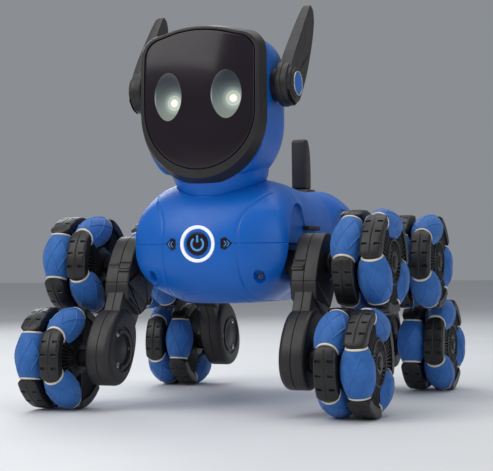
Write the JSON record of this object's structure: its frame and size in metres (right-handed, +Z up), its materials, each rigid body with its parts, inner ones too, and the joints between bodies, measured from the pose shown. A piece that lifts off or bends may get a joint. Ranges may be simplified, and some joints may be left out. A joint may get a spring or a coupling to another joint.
{
  "type": "toy robot",
  "caption": "Toy robot dog with a screen face, hinged ears, and hinged legs that each carry two omni wheels joined by a belt.",
  "frame": {"origin": "on the floor, midway between the four hips", "axes": "+Z up, -Y the way the robot faces, +X the robot's own left"},
  "size_m": [0.2522, 0.2712, 0.2777],
  "materials": {
    "blue_shell": "satin moulded blue",
    "dark_plastic": "satin charcoal",
    "blue_rubber": "soft matte blue with engraved lines",
    "cream_plastic": "cream roller ends",
    "steel": "bright",
    "belt_rubber": "matte black",
    "circuit_green": "solder resist",
    "battery_wrap": "shrink wrap",
    "dark_lens": "polished smoked lens",
    "eye_light": "lit",
    "white_light": "translucent white"
  },
  "bodies": {
    "torso": {"torso_upper_shell": "blue_shell", "torso_lower_shell": "blue_shell", "chest_light_ring": "white_light", "left_turn_light": "dark_plastic", "right_turn_light": "dark_plastic", "front_left_drive_motor": "steel", "front_right_drive_motor": "steel", "rear_left_drive_motor": "steel", "rear_right_drive_motor": "steel", "neck_motor": "steel", "battery_cover": "blue_shell", "battery_pack": "battery_wrap", "circuit_board": "circuit_green", "speaker": "dark_plastic", "tail": "dark_plastic", "tail_base": "dark_plastic", "neck_ring": "blue_shell"},
    "head": {"head_front_shell": "blue_shell", "head_rear_shell": "blue_shell", "face_bezel": "dark_plastic", "face_screen": "dark_lens", "left_eye": "eye_light", "right_eye": "eye_light", "face_light_board": "circuit_green"},
    "left_ear": {"left_ear": "dark_plastic", "left_ear_cap": "blue_shell"},
    "right_ear": {"right_ear": "dark_plastic", "right_ear_cap": "blue_shell"},
    "chest_button": {"chest_button": "blue_shell"},
    "power_switch": {"power_switch": "dark_plastic"},
    "front_left_leg": {"front_left_leg_outer_shell": "dark_plastic", "front_left_leg_inner_shell": "dark_plastic", "front_left_drive_belt": "belt_rubber"},
    "front_left_upper_wheel": {"front_left_upper_wheel": "blue_rubber", "front_left_upper_axle": "steel"},
    "front_left_lower_wheel": {"front_left_lower_wheel": "blue_rubber", "front_left_lower_axle": "steel"},
    "front_right_leg": {"front_right_leg_outer_shell": "dark_plastic", "front_right_leg_inner_shell": "dark_plastic", "front_right_drive_belt": "belt_rubber"},
    "front_right_upper_wheel": {"front_right_upper_wheel": "blue_rubber", "front_right_upper_axle": "steel"},
    "front_right_lower_wheel": {"front_right_lower_wheel": "blue_rubber", "front_right_lower_axle": "steel"},
    "rear_left_leg": {"rear_left_leg_outer_shell": "dark_plastic", "rear_left_leg_inner_shell": "dark_plastic", "rear_left_drive_belt": "belt_rubber"},
    "rear_left_upper_wheel": {"rear_left_upper_wheel": "blue_rubber", "rear_left_upper_axle": "steel"},
    "rear_left_lower_wheel": {"rear_left_lower_wheel": "blue_rubber", "rear_left_lower_axle": "steel"},
    "rear_right_leg": {"rear_right_leg_outer_shell": "dark_plastic", "rear_right_leg_inner_shell": "dark_plastic", "rear_right_drive_belt": "belt_rubber"},
    "rear_right_upper_wheel": {"rear_right_upper_wheel": "blue_rubber", "rear_right_upper_axle": "steel"},
    "rear_right_lower_wheel": {"rear_right_lower_wheel": "blue_rubber", "rear_right_lower_axle": "steel"}
  },
  "joints": [
    {"name": "head_turn", "type": "hinge", "parent": "torso", "child": "head", "pos_m": [0, -0.065, 0.15], "axis": [0, 0, 1], "range_deg": [-45, 45]},
    {"name": "left_ear_tilt", "type": "hinge", "parent": "head", "child": "left_ear", "pos_m": [0.053, -0.0735, 0.2186], "axis": [1, 0, 0], "range_deg": [-15, 40]},
    {"name": "right_ear_tilt", "type": "hinge", "parent": "head", "child": "right_ear", "pos_m": [-0.053, -0.0735, 0.2186], "axis": [1, 0, 0], "range_deg": [-15, 40]},
    {"name": "chest_button_press", "type": "slide", "parent": "torso", "child": "chest_button", "axis": [0, 1, 0], "range_m": [0, 0.0012], "stiffness_N_per_m": 400, "springref_m": -0.001},
    {"name": "power_switch_slide", "type": "slide", "parent": "torso", "child": "power_switch", "axis": [1, 0, 0], "range_m": [0, 0.004]},
    {"name": "front_left_hip", "type": "hinge", "parent": "torso", "child": "front_left_leg", "pos_m": [0.0665, -0.06215, 0.09855], "axis": [1, 0, 0], "range_deg": [-58, 45]},
    {"name": "front_left_upper_wheel_spin", "type": "hinge", "parent": "front_left_leg", "child": "front_left_upper_wheel", "pos_m": [0.10595, -0.06215, 0.09855], "axis": [1, 0, 0], "continuous": true},
    {"name": "front_left_lower_wheel_spin", "type": "hinge", "parent": "front_left_leg", "child": "front_left_lower_wheel", "pos_m": [0.10595, -0.10064, 0.035], "axis": [1, 0, 0], "continuous": true},
    {"name": "front_right_hip", "type": "hinge", "parent": "torso", "child": "front_right_leg", "pos_m": [-0.0665, -0.06215, 0.09855], "axis": [1, 0, 0], "range_deg": [-58, 45]},
    {"name": "front_right_upper_wheel_spin", "type": "hinge", "parent": "front_right_leg", "child": "front_right_upper_wheel", "pos_m": [-0.10595, -0.06215, 0.09855], "axis": [1, 0, 0], "continuous": true},
    {"name": "front_right_lower_wheel_spin", "type": "hinge", "parent": "front_right_leg", "child": "front_right_lower_wheel", "pos_m": [-0.10595, -0.10064, 0.035], "axis": [1, 0, 0], "continuous": true},
    {"name": "rear_left_hip", "type": "hinge", "parent": "torso", "child": "rear_left_leg", "pos_m": [0.0665, 0.06215, 0.09855], "axis": [1, 0, 0], "range_deg": [-45, 58]},
    {"name": "rear_left_upper_wheel_spin", "type": "hinge", "parent": "rear_left_leg", "child": "rear_left_upper_wheel", "pos_m": [0.10595, 0.06215, 0.09855], "axis": [1, 0, 0], "continuous": true},
    {"name": "rear_left_lower_wheel_spin", "type": "hinge", "parent": "rear_left_leg", "child": "rear_left_lower_wheel", "pos_m": [0.10595, 0.10064, 0.035], "axis": [1, 0, 0], "continuous": true},
    {"name": "rear_right_hip", "type": "hinge", "parent": "torso", "child": "rear_right_leg", "pos_m": [-0.0665, 0.06215, 0.09855], "axis": [1, 0, 0], "range_deg": [-45, 58]},
    {"name": "rear_right_upper_wheel_spin", "type": "hinge", "parent": "rear_right_leg", "child": "rear_right_upper_wheel", "pos_m": [-0.10595, 0.06215, 0.09855], "axis": [1, 0, 0], "continuous": true},
    {"name": "rear_right_lower_wheel_spin", "type": "hinge", "parent": "rear_right_leg", "child": "rear_right_lower_wheel", "pos_m": [-0.10595, 0.10064, 0.035], "axis": [1, 0, 0], "continuous": true}
  ],
  "couplings": [
    {"joint": "front_left_lower_wheel_spin", "follows": "front_left_upper_wheel_spin", "ratio": 1},
    {"joint": "front_right_lower_wheel_spin", "follows": "front_right_upper_wheel_spin", "ratio": 1},
    {"joint": "rear_left_lower_wheel_spin", "follows": "rear_left_upper_wheel_spin", "ratio": 1},
    {"joint": "rear_right_lower_wheel_spin", "follows": "rear_right_upper_wheel_spin", "ratio": 1}
  ]
}
